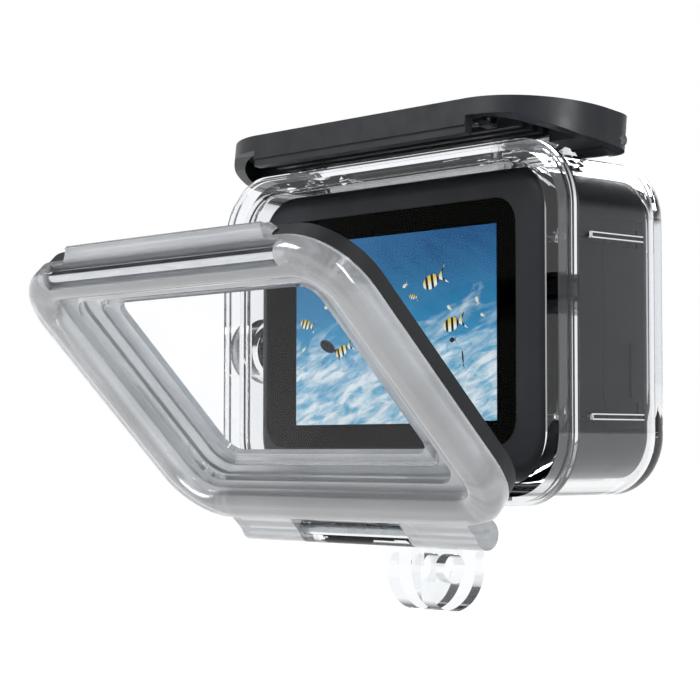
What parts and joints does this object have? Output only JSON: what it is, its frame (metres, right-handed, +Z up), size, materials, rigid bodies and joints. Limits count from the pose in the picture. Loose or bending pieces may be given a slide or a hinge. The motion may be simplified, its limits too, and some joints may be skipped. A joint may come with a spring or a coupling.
{
  "type": "action camera",
  "caption": "Small action camera in a clear waterproof housing with a bottom-hinged rear door, a top latch lever and a two-prong mount.",
  "frame": {"origin": "centre of the bore through the two mounting prongs under the housing", "axes": "+X to the right seen from behind the camera and along the prong bore, +Y the way the lens looks, +Z up"},
  "size_m": [0.0857, 0.0891, 0.0832],
  "materials": {
    "clear_polycarbonate": "clear moulded polycarbonate, polished",
    "frosted_polycarbonate": "frosted translucent silver-grey polycarbonate",
    "port_glass": "coated flat window",
    "lever_plastic": "fine-textured dark blue-grey nylon",
    "rubber": "black silicone",
    "gasket_rubber": "dark grey silicone",
    "steel": "stainless steel",
    "polished_steel": "polished stainless steel",
    "button_plastic": "clear grey polycarbonate",
    "camera_button_plastic": "moulded, satin",
    "camera_plastic": "soft-touch dark grey",
    "screen_glass": "cover glass, polished",
    "black_print": "black print behind the glass",
    "display": null,
    "aluminium": "plain sheet",
    "circuit_board": "solder mask",
    "battery_wrap": "satin wrap",
    "lens_glass": "coated lens glass",
    "black_metal": "anodised black",
    "sensor": "sensor cover glass",
    "black_gloss": "dark display glass",
    "speaker_metal": "fine mesh",
    "indicator": "tinted light window"
  },
  "bodies": {
    "housing": {"housing_shell": "clear_polycarbonate", "port_window": "port_glass", "port_seal": "rubber", "port_retainer": "lever_plastic", "port_screws": "steel", "hinge_pin": "steel", "shutter_seal": "rubber", "shutter_spring": "steel", "mode_seal": "rubber", "mode_spring": "steel", "camera_rear_case": "camera_plastic", "camera_front_case": "camera_plastic", "screen_glass": "screen_glass", "screen_mask": "black_print", "display_panel": "display", "display_backing": "aluminium", "mainboard": "circuit_board", "battery": "battery_wrap", "battery_door": "camera_plastic", "memory_card": "battery_wrap", "lens_cover": "camera_plastic", "lens_cover_glass": "lens_glass", "lens_barrel": "black_metal", "lens_front_element": "lens_glass", "image_sensor": "sensor", "front_screen": "black_gloss", "speaker": "speaker_metal", "microphone_mesh": "speaker_metal", "status_light": "indicator", "case_screws": "steel", "folding_prongs": "camera_plastic"},
    "door": {"door_frame": "frosted_polycarbonate", "door_window": "clear_polycarbonate", "door_gasket": "gasket_rubber", "catch_rod": "polished_steel"},
    "lever": {"latch_lever": "lever_plastic", "latch_bar": "clear_polycarbonate", "pivot_pins": "steel"},
    "shutter_plunger": {"shutter_cap": "button_plastic", "shutter_stem": "steel", "shutter_clip": "steel"},
    "mode_plunger": {"mode_cap": "button_plastic", "mode_stem": "steel", "mode_clip": "steel"},
    "shutter_key": {"camera_shutter_button": "camera_button_plastic"},
    "mode_key": {"camera_mode_button": "camera_button_plastic"}
  },
  "joints": [
    {"name": "door_hinge", "type": "hinge", "parent": "housing", "child": "door", "pos_m": [0, -0.0172, 0.007], "axis": [1, 0, 0], "range_deg": [-45, 110]},
    {"name": "lever_hinge", "type": "hinge", "parent": "housing", "child": "lever", "pos_m": [0, 0.0006, 0.0695], "axis": [1, 0, 0], "range_deg": [-90, 6.5]},
    {"name": "shutter_press", "type": "slide", "parent": "housing", "child": "shutter_plunger", "axis": [0, 0, -1], "range_m": [0, 0.0012], "stiffness_N_per_m": 1500, "springref_m": -0.0008, "deforming": ["shutter_spring"]},
    {"name": "mode_press", "type": "slide", "parent": "housing", "child": "mode_plunger", "axis": [1, 0, 0], "range_m": [0, 0.0012], "stiffness_N_per_m": 1500, "springref_m": -0.0008, "deforming": ["mode_spring"]},
    {"name": "shutter_key_press", "type": "slide", "parent": "housing", "child": "shutter_key", "axis": [0, 0, -1], "range_m": [0, 0.0012]},
    {"name": "mode_key_press", "type": "slide", "parent": "housing", "child": "mode_key", "axis": [1, 0, 0], "range_m": [0, 0.0012]}
  ],
  "couplings": [
    {"joint": "shutter_key_press", "follows": "shutter_press", "ratio": 1},
    {"joint": "mode_key_press", "follows": "mode_press", "ratio": 1}
  ]
}
